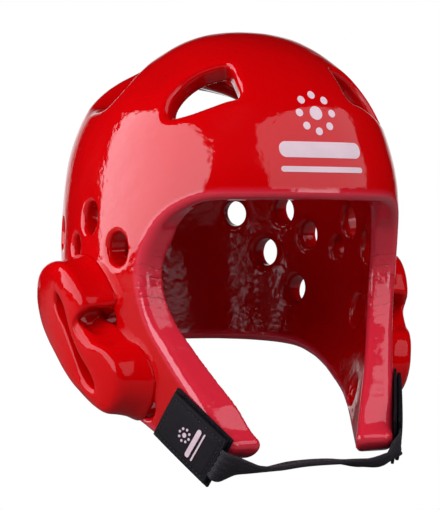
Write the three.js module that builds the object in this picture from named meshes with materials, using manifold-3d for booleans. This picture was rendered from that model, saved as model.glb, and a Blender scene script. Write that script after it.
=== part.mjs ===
// Open-face sparring headgear: one thick foam shell with a padded brow, long cheeks and
// a vented crown, two raised ear guards and a chin strap on hook-and-loop tabs.
// Millimetres. +Z up, the wearer looks along -Y, the wearer's left side is at +X.
// The origin is where the top of the head sits, on the inside of the crown.
import * as THREE from 'three';
import { mergeVertices } from 'three/addons/utils/BufferGeometryUtils.js';
import Module from 'manifold-3d';

// Shell. Heights are measured from the lower edge of the brow.
const SHELL_HEIGHT = 245; // cheek tips to crown
const HALF_WIDTH = 95; // at the temples
const FRONT_REACH = 110; // from the head's axis to the brow
const BACK_REACH = 118; // from the head's axis to the back
const BACK_SQUARENESS = 2.15;
const WALL = 16;
const EDGE_RADIUS = 4.5; // rolled edge of the face and neck rim
const CROWN_EDGE_RADIUS = 5; // rolled edge of the crown openings
const VENT_RADIUS = 7.5;
const VENT_EDGE_RADIUS = 3;
const CUT_PAST = 5; // how far a cut runs past the foam before it closes
const CUT_RISE = 14; // how far it closes above the middle of an opening, besides the opening's size
const CUT_DEPTH = 18; // how far it closes below the middle of an opening

// Ear guards. Back and up are measured from the guard's middle.
const GUARD_LENGTH = 85;
const GUARD_BACK = -12; // the middle lies ahead of the head's axis
const GUARD_UP = -74;
const GUARD_PROUD = 19;
const GUARD_DRAFT = 4; // how far the foot spreads past the face
const GUARD_EDGE_RADIUS = 5;
const GUARD_FLOOR = 3; // foam left under the slot
const GUARD_ROOT = 4; // how deep the foot is drawn into the shell before it is cut to it
const GUARD_CROWN = 0.6; // how far the face rises between its edges
const SLOT_EDGE_RADIUS = 2.5;

// Chin strap and its tabs
const PATCH_WIDTH = 33;
const PATCH_LENGTH = 46;
const PATCH_THICKNESS = 1.8;
const TAB_THICKNESS = 2.2;
const STRAP_WIDTH = 22;
const STRAP_THICKNESS = 2.4;
const STRAP_STRAIGHT = 7; // the strap leaves a tab straight for this far
const GAP = 0.3; // between neighbouring pieces

// Faces round each form and cut, and along it
const FACES = { outer: [44, 22], inner: [32, 16], rim: 72, rear: 26, front: 18, side: 24, vent: 8 };
const GUARD_FACES = 36;
const PANEL_FACES = [4, 6];
const STRAP_FACES = [36, 3];

// Row of the shell at its widest, counted from the crown
const WIDEST_ROW = 8;
// height, half width, front reach, back reach, squareness of the front, share of the wall's thickness
const SHELL_ROWS = [
  [0.427, 0, 0, 0, 2.2, 1],
  [0.418, 0.274, 0.255, 0.254, 2.2, 1],
  [0.396, 0.453, 0.427, 0.441, 2.2, 1],
  [0.355, 0.6, 0.6, 0.602, 2.2, 1],
  [0.298, 0.737, 0.755, 0.746, 2.25, 1],
  [0.224, 0.853, 0.882, 0.873, 2.3, 1],
  [0.135, 0.937, 0.955, 0.949, 2.35, 1],
  [0.033, 0.979, 1, 0.992, 2.35, 1],
  [-0.102, 1, 1, 1, 2.2, 1],
  [-0.245, 0.984, 1.036, 0.966, 2, 1],
  [-0.388, 0.932, 1.191, 0.907, 1.85, 1.12],
  [-0.531, 0.879, 1.355, 0.831, 1.7, 1.45],
  [-0.694, 0.821, 1.455, 0.746, 1.6, 1.6],
];

// Half of the face and neck rim, from the brow to the nape:
// azimuth, height, and the way the edge is cut (0 straight back, 90 straight across, 180 forwards)
const RIM_ROWS = [
  [0, 0.008, 0],
  [18, 0.008, 12],
  [33, 0.004, 35],
  [41, -0.016, 58],
  [47, -0.045, 72],
  [51, -0.082, 82],
  [54.5, -0.143, 80],
  [54, -0.204, 80],
  [51, -0.265, 84],
  [45, -0.327, 87],
  [39, -0.388, 90],
  [33, -0.449, 90],
  [28, -0.506, 84],
  [24.5, -0.543, 80],
  [26, -0.567, 85],
  [31, -0.578, 95],
  [39, -0.567, 95],
  [48, -0.541, 94],
  [58, -0.508, 92],
  [72, -0.467, 92],
  [87, -0.431, 92],
  [99, -0.4, 98],
  [110, -0.376, 108],
  [123, -0.355, 122],
  [140, -0.345, 140],
  [160, -0.343, 160],
  [180, -0.343, 180],
];

// Crown openings: azimuth, height. The front and side pairs are cut towards a point on the head's axis.
const FRONT_AIM = 0.14;
const SIDE_AIM = 0.26;
const FRONT_OPENING = [
  [22, 0.245],
  [23, 0.286],
  [26, 0.318],
  [32, 0.314],
  [40.5, 0.296],
  [46, 0.266],
  [48.5, 0.229],
  [47.5, 0.198],
  [41, 0.201],
  [33, 0.218],
  [27, 0.233],
];
const SIDE_OPENING = [
  [84, 0.278],
  [84.5, 0.318],
  [90, 0.363],
  [108, 0.39],
  [130, 0.401],
  [148, 0.402],
  [157, 0.38],
  [152, 0.351],
  [141, 0.322],
  [130, 0.282],
  [119, 0.245],
  [104, 0.229],
  [90, 0.239],
];
// Half of the opening at the back, from its top to its bottom
const REAR_OPENING = [
  [180, 0.314],
  [165, 0.308],
  [150, 0.286],
  [141, 0.253],
  [138, 0.22],
  [144, 0.192],
  [162, 0.18],
  [180, 0.18],
];

// Air and ear holes on each side: azimuth, height, radius
const VENT_ROWS = [
  [84, -0.029, 1.067],
  [66, -0.102, 1.067],
  [95, -0.098, 0.8],
  [115, -0.065, 0.933],
  [128, 0, 0.933],
  [150, -0.008, 0.933],
  [137, -0.114, 1],
  [122, -0.212, 0.933],
  [74, -0.265, 1.133],
  [56, -0.457, 0.867],
];

// Ear guard, from its top end to its bottom end:
// rear edge back and up, front edge back and up, slot back and up, slot half width
const GUARD_ROWS = [
  [0.118, 0.494, 0.118, 0.494, 0.024, 0.282, 0],
  [0.306, 0.453, -0.059, 0.476, 0.012, 0.247, 0.035],
  [0.447, 0.365, -0.176, 0.406, -0.006, 0.2, 0.059],
  [0.506, 0.235, -0.259, 0.312, -0.035, 0.141, 0.053],
  [0.459, 0.1, -0.306, 0.2, -0.071, 0.071, 0.035],
  [0.341, -0.024, -0.229, 0.106, -0.106, -0.012, 0.026],
  [0.212, -0.129, -0.341, -0.018, -0.147, -0.094, 0.026],
  [0.094, -0.235, -0.471, -0.076, -0.188, -0.165, 0.035],
  [-0.035, -0.341, -0.553, -0.176, -0.229, -0.229, 0.047],
  [-0.176, -0.429, -0.576, -0.306, -0.271, -0.288, 0.041],
  [-0.306, -0.488, -0.529, -0.424, -0.3, -0.324, 0.024],
  [-0.424, -0.506, -0.424, -0.506, -0.318, -0.341, 0],
];

// Patches on the cheeks: side, azimuth and height of the middle, turn of the long side from upright
const PATCH_ROWS = [
  [-1, 36, -0.52, 54],
  [1, 37, -0.502, 54],
];

// Chin strap under the chin, from the wearer's right to the left:
// sideways, forward, height, turn of the flat side (0 lies level, 90 stands on edge)
const STRAP_ROWS = [
  [-0.421, 0.936, -0.598, 22],
  [-0.221, 0.877, -0.596, 8],
  [0, 0.836, -0.59, 4],
  [0.232, 0.845, -0.589, 4],
  [0.4, 0.891, -0.593, 14],
  [0.526, 0.923, -0.584, 30],
];

// Roundness of an edge that is turned in a thin wall, and of a vent, which is a little taller than wide
const MOST_TURN = 0.45;
const VENT_TALL = 1.1;

// The rim's cut, as shares of the shell's height and reaches: its middle, how far it flares, and its two ends
const RIM_MIDDLE = -0.08;
const RIM_FLARE = 1.6;
const RIM_START = [-1.9, -2.4];
const RIM_END = [0.1, -0.06];

const RED = { color: 0xc4000a, roughness: 0.12, metalness: 0 };
const GUARD_RED = { color: 0xc80009, roughness: 0.12, metalness: 0 };
const HOOK_BLACK = { color: 0x0c0c0d, roughness: 0.95, metalness: 0 };
const TAB_BLACK = { color: 0x161618, roughness: 0.75, metalness: 0 };
const STRAP_BLACK = { color: 0x1d1d20, roughness: 0.7, metalness: 0 };

const wasm = await Module();
wasm.setup();

const rad = THREE.MathUtils.degToRad;
const deg = THREE.MathUtils.radToDeg;
const vec = (x, y, z) => new THREE.Vector3(x, y, z);

// Natural cubic spline through one column; a flat start keeps the crown smooth.
function spline(values, flatStart) {
  const n = values.length;
  const a = new Array(n).fill(1);
  const b = new Array(n).fill(4);
  const c = new Array(n).fill(1);
  const r = values.map((v, i) => (i > 0 && i < n - 1 ? 6 * (values[i + 1] - 2 * v + values[i - 1]) : 0));
  b[0] = 1;
  c[0] = 0;
  if (flatStart) {
    b[0] = 2;
    c[0] = 1;
    r[0] = 6 * (values[1] - values[0]);
  }
  a[n - 1] = 0;
  b[n - 1] = 1;
  for (let i = 1; i < n; i++) {
    const m = a[i] / b[i - 1];
    b[i] -= m * c[i - 1];
    r[i] -= m * r[i - 1];
  }
  const s = new Array(n);
  s[n - 1] = r[n - 1] / b[n - 1];
  for (let i = n - 2; i >= 0; i--) s[i] = (r[i] - c[i] * s[i + 1]) / b[i];
  return (t) => {
    const k = Math.min(Math.max(Math.floor(t), 0), n - 2);
    const f = t - k;
    const g = 1 - f;
    return g * values[k] + f * values[k + 1] + ((g ** 3 - g) * s[k] + (f ** 3 - f) * s[k + 1]) / 6;
  };
}

// A form made of level sections. inset shrinks it evenly, and a negative inset swells it.
function loft(inset) {
  const widest = SHELL_ROWS[WIDEST_ROW][0] * SHELL_HEIGHT;
  const top = SHELL_ROWS[0][0] * SHELL_HEIGHT;
  const columns = [[], [], [], [], []];
  for (const [height, width, front, back, square, wall] of SHELL_ROWS) {
    const z = height * SHELL_HEIGHT;
    const above = z > widest;
    const shrink = (full) => (above ? (full - inset) / full : 1);
    const less = above ? 0 : inset * (inset > 0 ? wall : 1);
    columns[0].push(above ? widest + (z - widest) * shrink(top - widest) : z);
    columns[1].push(width * HALF_WIDTH * shrink(HALF_WIDTH) - less);
    columns[2].push(front * FRONT_REACH * shrink(FRONT_REACH) - less);
    columns[3].push(back * BACK_REACH * shrink(BACK_REACH) - less);
    columns[4].push(square);
  }
  const [height, width, front, back, square] = columns.map((v, i) => spline(v, i === 0 || i === 4));
  const last = SHELL_ROWS.length - 1;
  const radiusAt = (t, azimuth) => {
    const c = Math.cos(azimuth);
    const s = Math.abs(Math.sin(azimuth));
    const n = c >= 0 ? square(t) : BACK_SQUARENESS;
    const reach = c >= 0 ? front(t) : back(t);
    return ((Math.abs(c) / reach) ** n + (s / width(t)) ** n) ** (-1 / n);
  };
  const form = {
    last,
    rowAt(z) {
      let low = 0;
      let high = last;
      for (let i = 0; i < 34; i++) {
        const mid = (low + high) / 2;
        if (height(mid) > z) low = mid;
        else high = mid;
      }
      return (low + high) / 2;
    },
    // a point on the form at a row and an azimuth in degrees from the front
    point(t, azimuth) {
      const a = rad(azimuth);
      if (t <= 1e-6) return vec(0, 0, height(0));
      const r = radiusAt(t, a);
      return vec(r * Math.sin(a), -r * Math.cos(a), height(t));
    },
    at(azimuth, z) {
      return form.point(form.rowAt(z), azimuth);
    },
    // 1 on the form, less inside it, more outside it
    level(p) {
      if (p.z >= height(0)) return 1 + p.z - height(0);
      const t = Math.max(form.rowAt(p.z), 1e-4);
      return Math.hypot(p.x, p.y) / radiusAt(t, Math.atan2(p.x, -p.y));
    },
    normal(p) {
      const e = WALL / 32;
      const d = (dx, dy, dz) => form.level(vec(p.x + dx, p.y + dy, p.z + dz)) - form.level(vec(p.x - dx, p.y - dy, p.z - dz));
      return vec(d(e, 0, 0), d(0, e, 0), d(0, 0, e)).normalize();
    },
    // half width of the form at a distance behind the axis and a height
    sideAt(y, z) {
      const t = form.rowAt(z);
      const n = y < 0 ? square(t) : BACK_SQUARENESS;
      const reach = y < 0 ? front(t) : back(t);
      return width(t) * Math.max(1 - (Math.abs(y) / reach) ** n, 0.02) ** (1 / n);
    },
  };
  return form;
}

const CROWN_TOP = SHELL_ROWS[0][0] * SHELL_HEIGHT;
const outer = loft(0);
const inner = loft(WALL);

// The solid inside a geometry, turned outwards if it came out inside out.
function solid(geometry) {
  geometry.deleteAttribute('normal');
  geometry.deleteAttribute('uv');
  const merged = mergeVertices(geometry, 1e-4);
  const position = merged.getAttribute('position');
  const index = [];
  const p = [vec(0, 0, 0), vec(0, 0, 0), vec(0, 0, 0)];
  let volume = 0;
  for (let i = 0; i < merged.index.count; i += 3) {
    const tri = [0, 1, 2].map((k) => merged.index.getX(i + k));
    if (tri[0] === tri[1] || tri[1] === tri[2] || tri[2] === tri[0]) continue;
    index.push(...tri);
    tri.forEach((v, k) => p[k].fromBufferAttribute(position, v));
    volume += p[0].dot(p[1].clone().cross(p[2]));
  }
  if (volume < 0) for (let i = 0; i < index.length; i += 3) [index[i + 1], index[i + 2]] = [index[i + 2], index[i + 1]];
  return new wasm.Manifold(
    new wasm.Mesh({
      numProp: 3,
      vertProperties: Float32Array.from(position.array),
      triVerts: Uint32Array.from(index),
    }),
  );
}

// A closed body from rings of points, closed by a single point at each end.
function ringBody(start, rings, end) {
  const count = rings[0].length;
  const geometry = new THREE.SphereGeometry(1, count, rings.length + 1);
  const position = geometry.getAttribute('position');
  for (let row = 0; row <= rings.length + 1; row++) {
    for (let i = 0; i <= count; i++) {
      let p = row === 0 ? start : end;
      if (row > 0 && row <= rings.length) p = rings[row - 1][i % count];
      position.setXYZ(row * (count + 1) + i, p.x, p.y, p.z);
    }
  }
  return solid(geometry);
}

function formBody(form, around, rows) {
  const rings = [];
  for (let k = 1; k <= rows; k++) {
    const t = (form.last * k) / rows;
    rings.push(Array.from({ length: around }, (_, i) => form.point(t, (360 * (i + 0.5)) / around)));
  }
  return ringBody(form.point(0, 0), rings, vec(0, 0, rings[rows - 1][0].z));
}

const centroid = (points) => points.reduce((sum, p) => sum.add(p), vec(0, 0, 0)).divideScalar(points.length);

// The direction across a closed line on a form, pointing away from the opening.
function acrossLine(points, form, outward) {
  const n = points.length;
  const across = points.map((p, i) => {
    const along = points[(i + 1) % n].clone().sub(points[(i + n - 1) % n]);
    return along.cross(form.normal(p)).normalize();
  });
  const middle = centroid(points);
  let sign = 0;
  across.forEach((a, i) => {
    sign += outward ? a.dot(outward) : a.dot(points[i].clone().sub(middle));
  });
  if (sign < 0) across.forEach((a) => a.negate());
  return across;
}

// A closed line on the outside of the shell, evenly spaced, with the way it is cut at each point.
function outlinePoints(rows, count) {
  const curve = new THREE.CatmullRomCurve3(
    rows.map(([azimuth, height]) => outer.at(azimuth, height * SHELL_HEIGHT)),
    true,
    'centripetal',
  );
  curve.arcLengthDivisions = 600;
  const cuts = new THREE.CatmullRomCurve3(
    rows.map((row) => vec(Math.sin(rad(row[2] ?? 0)), Math.cos(rad(row[2] ?? 0)), 0)),
    true,
    'catmullrom',
    0.3,
  );
  const points = [];
  for (let i = 0; i < count; i++) {
    const t = curve.getUtoTmapping(i / count);
    const p = curve.getPoint(t);
    const cut = cuts.getPoint(t);
    points.push({
      at: outer.at(deg(Math.atan2(p.x, -p.y)), Math.min(p.z, 0.99 * CROWN_TOP)),
      cut: vec(-cut.x, cut.y, 0).normalize(),
    });
  }
  return points;
}

// The body that is taken out of the shell for an opening, with both edges rolled.
function cutter(points, radius, options) {
  const edge = points.map((p) => p.at);
  const into = points.map((p) => p.into);
  const reach = edge.map((p, i) => {
    let low = 0;
    let high = 1;
    const step = WALL / 16;
    while (high < 6 * WALL && inner.level(p.clone().addScaledVector(into[i], high)) > 1) high += step;
    low = high - step;
    for (let k = 0; k < 24; k++) {
      const mid = (low + high) / 2;
      if (inner.level(p.clone().addScaledVector(into[i], mid)) > 1) low = mid;
      else high = mid;
    }
    return high;
  });
  const back = edge.map((p, i) => p.clone().addScaledVector(into[i], reach[i]));
  const acrossOut = acrossLine(edge, outer, options.outward);
  const acrossIn = acrossLine(back, inner, options.outward);
  const roll = (base, across, direction, angle, r) =>
    base.map((p, i) => {
      const turn = Math.min(r, reach[i] * MOST_TURN);
      return p
        .clone()
        .addScaledVector(across[i], turn * (1 - Math.sin(angle)))
        .addScaledVector(direction[i], turn * (1 - Math.cos(angle)));
    });
  const outOf = into.map((d) => d.clone().negate());
  const shift = (ring, form, amount) => ring.map((p) => p.clone().addScaledVector(form.normal(p), amount));
  const rings = [];
  const first = roll(edge, acrossOut, into, 0, radius);
  rings.push(options.far ? first.map(options.far) : shift(first, outer, CUT_PAST));
  const angles = options.angles ?? [0, 45, 90];
  for (const angle of angles) rings.push(roll(edge, acrossOut, into, rad(angle), radius));
  for (const angle of [...angles].reverse()) rings.push(roll(back, acrossIn, outOf, rad(angle), radius));
  const lastRing = roll(back, acrossIn, outOf, 0, radius);
  rings.push(shift(lastRing, inner, -CUT_PAST));
  const mid = centroid(edge);
  const out = outer.normal(mid);
  const size = Math.max(...edge.map((p) => p.distanceTo(mid)));
  return ringBody(
    options.start ?? mid.clone().addScaledVector(out, CUT_RISE + size),
    rings,
    options.end ?? centroid(back).addScaledVector(out, -CUT_DEPTH),
  );
}

const mirrorRows = (rows) => [...rows, ...rows.slice(1, -1).reverse().map(([a, h, c]) => [-a, h, -(c ?? 0)])];
const otherSide = (body) => body.mirror([1, 0, 0]);

function rimCutter() {
  const points = outlinePoints(mirrorRows(RIM_ROWS), FACES.rim);
  points.forEach((p) => {
    p.into = p.cut;
  });
  const middle = vec(0, 0, RIM_MIDDLE * SHELL_HEIGHT);
  return cutter(points, EDGE_RADIUS, {
    outward: vec(0, 0.5, 0.8),
    far: (p) => p.clone().sub(middle).multiplyScalar(RIM_FLARE).add(middle),
    start: vec(0, RIM_START[0] * FRONT_REACH, RIM_START[1] * SHELL_HEIGHT),
    end: vec(0, RIM_END[0] * BACK_REACH, RIM_END[1] * SHELL_HEIGHT),
  });
}

// Cut towards a point on the head's axis.
function crownCutter(rows, count, targetHeight) {
  const points = outlinePoints(rows, count);
  points.forEach((p) => {
    p.into = vec(0, 0, targetHeight * SHELL_HEIGHT).sub(p.at).normalize();
  });
  return cutter(points, CROWN_EDGE_RADIUS, {});
}

// Cut level, straight towards the head's axis.
function rearCutter() {
  const points = outlinePoints(mirrorRows(REAR_OPENING), FACES.rear);
  points.forEach((p) => {
    p.into = vec(-p.at.x, -p.at.y, 0).normalize();
  });
  return cutter(points, CROWN_EDGE_RADIUS, {});
}

function ventCutter([azimuth, height, size]) {
  const middle = outer.at(azimuth, height * SHELL_HEIGHT);
  const out = outer.normal(middle);
  const side = vec(0, 0, 1).cross(out).normalize();
  const up = out.clone().cross(side);
  const radius = size * VENT_RADIUS;
  const count = FACES.vent;
  const points = Array.from({ length: count }, (_, i) => {
    const a = (2 * Math.PI * i) / count;
    const p = middle
      .clone()
      .addScaledVector(side, radius * Math.cos(a))
      .addScaledVector(up, radius * VENT_TALL * Math.sin(a));
    return { at: outer.at(deg(Math.atan2(p.x, -p.y)), p.z), into: out.clone().negate() };
  });
  return cutter(points, VENT_EDGE_RADIUS, { angles: [0, 90] });
}

function buildShell() {
  let shell = formBody(outer, ...FACES.outer).subtract(formBody(inner, ...FACES.inner));
  const front = crownCutter(FRONT_OPENING, FACES.front, FRONT_AIM);
  const side = crownCutter(SIDE_OPENING, FACES.side, SIDE_AIM);
  const cuts = [rimCutter(), rearCutter(), front, otherSide(front), side, otherSide(side)];
  for (const row of VENT_ROWS) {
    const vent = ventCutter(row);
    cuts.push(vent, otherSide(vent));
  }
  for (const cut of cuts) shell = shell.subtract(cut);
  return shell;
}

// The guard of the wearer's left: one loop of foam between its outline and the winding slot in its face.
function buildGuard() {
  const place = (back, up) => vec(0, GUARD_BACK + back * GUARD_LENGTH, GUARD_UP + up * GUARD_LENGTH);
  const outline = [];
  const slot = [];
  const middle = [];
  const add = (row, side) => {
    const edge = side > 0 ? place(row[0], row[1]) : place(row[2], row[3]);
    const other = side > 0 ? place(row[2], row[3]) : place(row[0], row[1]);
    const centre = place(row[4], row[5]);
    const apart = edge.clone().sub(other);
    if (apart.length() > 1e-6) apart.normalize();
    outline.push(edge);
    slot.push(centre.clone().addScaledVector(apart, row[6] * GUARD_LENGTH));
    middle.push(centre);
  };
  GUARD_ROWS.forEach((row) => add(row, 1));
  GUARD_ROWS.slice(1, -1).reverse().forEach((row) => add(row, -1));
  const count = GUARD_FACES;
  const sample = (anchors) => {
    const curve = new THREE.CatmullRomCurve3(anchors, true, 'catmullrom', 0.5);
    return Array.from({ length: count }, (_, i) => curve.getPoint(i / count));
  };
  const edge = sample(outline);
  const slotEdge = sample(slot);
  const slotMiddle = sample(middle);
  const ways = edge.map((p, i) => p.clone().sub(slotEdge[i]).normalize());
  const lift = (p, height) => vec(outer.sideAt(p.y, p.z) + height, p.y, p.z);
  const outlineRing = (grow, height) => edge.map((p, i) => lift(p.clone().addScaledVector(ways[i], grow), height));
  const slotRing = (grow, height) => slotEdge.map((p, i) => lift(p.clone().addScaledVector(ways[i], grow), height));
  const r = GUARD_EDGE_RADIUS;
  const rings = [
    outlineRing(GUARD_DRAFT, -GUARD_ROOT),
    outlineRing(GUARD_DRAFT * 0.5, GUARD_PROUD * 0.45),
    outlineRing(0, GUARD_PROUD - r),
    outlineRing(-r * 0.3, GUARD_PROUD - r * 0.3),
    outlineRing(-r, GUARD_PROUD),
    edge.map((p, i) => lift(p.clone().lerp(slotEdge[i], 0.6), GUARD_PROUD + GUARD_CROWN)),
    slotRing(SLOT_EDGE_RADIUS, GUARD_PROUD - GUARD_CROWN / 2),
    slotRing(0, GUARD_PROUD - 1.2 * SLOT_EDGE_RADIUS),
    edge.map((p, i) => lift(slotMiddle[i].clone().lerp(slotEdge[i], 0.5), 1.67 * GUARD_FLOOR)),
  ];
  // both sides of the slot meet along its floor, and the foot closes along the same line
  const line = (height) => slotMiddle.map((_, i) => lift(slotMiddle[i <= count / 2 ? i : count - i], height));
  const all = [line(-1.75 * GUARD_ROOT), ...rings, line(GUARD_FLOOR)];
  const geometry = new THREE.CylinderGeometry(1, 1, 1, count, all.length - 1, true);
  const position = geometry.getAttribute('position');
  all.forEach((ring, row) => {
    for (let i = 0; i <= count; i++) {
      const p = ring[i % count];
      position.setXYZ(row * (count + 1) + i, p.x, p.y, p.z);
    }
  });
  return solid(geometry);
}

// A point on a cheek patch's own plane, laid on the outside of the shell and lifted off it.
function onCheek([side, azimuth, height, turn], x, y, lift) {
  const middle = outer.at(side * azimuth, height * SHELL_HEIGHT);
  const out = outer.normal(middle);
  const level = vec(0, 0, 1).cross(out).normalize();
  const up = out.clone().cross(level);
  const angle = rad(-turn) * side;
  const flat = middle
    .addScaledVector(level, x * Math.cos(angle) - y * Math.sin(angle))
    .addScaledVector(up, x * Math.sin(angle) + y * Math.cos(angle));
  const base = outer.at(deg(Math.atan2(flat.x, -flat.y)), flat.z);
  return base.addScaledVector(outer.normal(base), lift);
}

function panel(row, width, length, lift, thickness) {
  const geometry = new THREE.BoxGeometry(width, length, thickness, ...PANEL_FACES, 1);
  const position = geometry.getAttribute('position');
  for (let i = 0; i < position.count; i++) {
    const height = lift + thickness / 2 + position.getZ(i);
    const p = onCheek(row, position.getX(i), position.getY(i), height);
    position.setXYZ(i, p.x, p.y, p.z);
  }
  return solid(geometry);
}

const TAB_LENGTH = PATCH_LENGTH * 0.94;
const TAB_LIFT = PATCH_THICKNESS + 2 * GAP;

function buildPatch(row) {
  return panel(row, PATCH_WIDTH, PATCH_LENGTH, GAP, PATCH_THICKNESS);
}

function buildTab(row) {
  return panel(row, PATCH_WIDTH * 0.9, TAB_LENGTH, TAB_LIFT, TAB_THICKNESS);
}

// A flat band from the lower edge of one tab to the other, lying level under the chin.
function buildStrap() {
  const middle = TAB_LIFT + TAB_THICKNESS / 2;
  const stations = [];
  const fromTab = (row, beyond) => {
    const y = -TAB_LENGTH / 2 - beyond;
    const across = onCheek(row, 1, y, middle).sub(onCheek(row, -1, y, middle)).normalize();
    return { at: onCheek(row, 0, y, middle), across: across.y > 0 ? across.negate() : across };
  };
  stations.push(fromTab(PATCH_ROWS[0], GAP), fromTab(PATCH_ROWS[0], STRAP_STRAIGHT));
  for (const [x, y, z, turn] of STRAP_ROWS) {
    stations.push({
      at: vec(x * HALF_WIDTH, -y * FRONT_REACH, z * SHELL_HEIGHT),
      across: vec(0, -Math.cos(rad(turn)), Math.sin(rad(turn))),
    });
  }
  stations.push(fromTab(PATCH_ROWS[1], STRAP_STRAIGHT), fromTab(PATCH_ROWS[1], GAP));
  const curve = new THREE.CatmullRomCurve3(stations.map((s) => s.at), false, 'centripetal');
  const turning = new THREE.CatmullRomCurve3(stations.map((s) => s.across), false, 'catmullrom', 0.3);
  const geometry = new THREE.BoxGeometry(1, STRAP_WIDTH, STRAP_THICKNESS, ...STRAP_FACES, 1);
  const position = geometry.getAttribute('position');
  for (let i = 0; i < position.count; i++) {
    const t = curve.getUtoTmapping(position.getX(i) + 0.5);
    const along = curve.getTangent(t);
    const across = turning.getPoint(t);
    across.addScaledVector(along, -across.dot(along)).normalize();
    const out = along.clone().cross(across);
    const p = curve.getPoint(t);
    p.addScaledVector(across, position.getY(i)).addScaledVector(out, position.getZ(i));
    position.setXYZ(i, p.x, p.y, p.z);
  }
  return solid(geometry);
}

// One named mesh, moved so that the head's seat is at the origin.
function part(name, body, surface) {
  const { numProp, vertProperties, triVerts } = body.getMesh();
  const geometry = new THREE.BufferGeometry();
  const points = new Float32Array((vertProperties.length / numProp) * 3);
  for (let i = 0; i < points.length / 3; i++) {
    for (let k = 0; k < 3; k++) points[3 * i + k] = vertProperties[i * numProp + k];
  }
  geometry.setAttribute('position', new THREE.BufferAttribute(points, 3));
  geometry.setIndex(new THREE.BufferAttribute(Uint32Array.from(triVerts), 1));
  geometry.translate(0, 0, WALL - CROWN_TOP);
  geometry.computeVertexNormals();
  const mesh = new THREE.Mesh(geometry, new THREE.MeshStandardMaterial(surface));
  mesh.name = name;
  return mesh;
}

const headgear = new THREE.Group();
headgear.name = 'headgear';
const guard = buildGuard();
const clearance = formBody(loft(-GAP), ...FACES.outer);
headgear.add(
  part('shell', buildShell(), RED),
  part('ear_guard_left', guard.subtract(clearance), GUARD_RED),
  part('ear_guard_right', otherSide(guard).subtract(clearance), GUARD_RED),
  part('hook_patch_right', buildPatch(PATCH_ROWS[0]), HOOK_BLACK),
  part('hook_patch_left', buildPatch(PATCH_ROWS[1]), HOOK_BLACK),
  part('strap_tab_right', buildTab(PATCH_ROWS[0]), TAB_BLACK),
  part('strap_tab_left', buildTab(PATCH_ROWS[1]), TAB_BLACK),
  part('chin_strap', buildStrap(), STRAP_BLACK),
);

export default headgear;
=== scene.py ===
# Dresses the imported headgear: dipped foam shell and ear guards, tabs, chin strap, print and studio.
import math

import bmesh
import bpy
import numpy as np
from bpy.props import FloatProperty, FloatVectorProperty, IntProperty, PointerProperty
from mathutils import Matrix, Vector, noise
from mathutils.bvhtree import BVHTree


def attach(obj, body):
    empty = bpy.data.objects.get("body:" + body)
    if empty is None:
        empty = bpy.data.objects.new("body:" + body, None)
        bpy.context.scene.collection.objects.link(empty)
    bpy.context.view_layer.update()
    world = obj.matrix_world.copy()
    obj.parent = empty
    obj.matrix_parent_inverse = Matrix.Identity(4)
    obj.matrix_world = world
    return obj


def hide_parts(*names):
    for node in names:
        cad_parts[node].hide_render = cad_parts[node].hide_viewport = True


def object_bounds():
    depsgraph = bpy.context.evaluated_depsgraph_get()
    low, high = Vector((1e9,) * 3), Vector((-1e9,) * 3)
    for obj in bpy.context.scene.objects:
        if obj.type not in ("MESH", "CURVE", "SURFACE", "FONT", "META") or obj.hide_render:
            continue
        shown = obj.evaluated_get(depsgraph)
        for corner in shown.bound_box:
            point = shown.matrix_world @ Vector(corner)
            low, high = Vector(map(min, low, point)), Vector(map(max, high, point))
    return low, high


bl_info = {
    "name": "Foam headgear",
    "version": (1, 0, 0),
    "blender": (4, 5, 0),
    "location": "View3D > Sidebar > Headgear",
    "description": "Builds a dipped foam headgear, its tabs, strap, print and studio on the packed frame",
    "category": "Object",
}

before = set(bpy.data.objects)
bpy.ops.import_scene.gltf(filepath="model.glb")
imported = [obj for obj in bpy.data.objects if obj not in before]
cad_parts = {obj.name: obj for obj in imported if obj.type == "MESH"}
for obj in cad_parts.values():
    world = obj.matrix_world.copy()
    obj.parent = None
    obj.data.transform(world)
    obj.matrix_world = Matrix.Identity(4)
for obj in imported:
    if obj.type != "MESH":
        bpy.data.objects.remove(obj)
cad_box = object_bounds()

# Sizes of the foam form, in metres; heights are shares of the shell's height
SHELL_HEIGHT = 0.245
HALF_WIDTH = 0.095
FRONT_REACH = 0.110
BACK_REACH = 0.118
BACK_SQUARENESS = 2.15
WALL = 0.016
EDGE_RADIUS = 0.0045
CROWN_EDGE_RADIUS = 0.005
VENT_RADIUS = 0.0075
VENT_SWELL = 1.07
VENT_TALLNESS = 1.1
VENT_EDGE_RADIUS = 0.003
GUARD_LENGTH = 0.085
GUARD_BACK = -0.009
GUARD_UP = -0.074
GUARD_PROUD = 0.019
GUARD_DRAFT = 0.004
GUARD_EDGE_RADIUS = 0.005
GUARD_FLOOR = 0.003
SLOT_EDGE_RADIUS = 0.0022
PATCH_WIDTH = 0.033
PATCH_LENGTH = 0.046
PATCH_THICKNESS = 0.0018
TAB_THICKNESS = 0.0022
STRAP_WIDTH = 0.022
STRAP_THICKNESS = 0.0024
STRAP_TUCK = 0.003
STRAP_TAPER = 0.02
STRAP_NARROW = 0.8
GAP = 0.0003
TAB_LENGTH = PATCH_LENGTH * 0.94
TAB_WIDTH = PATCH_WIDTH * 0.9
TAB_LIFT = PATCH_THICKNESS + 2 * GAP
TAB_CLEAR = 0.0002
SEAM_INSET = 0.0026

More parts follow.
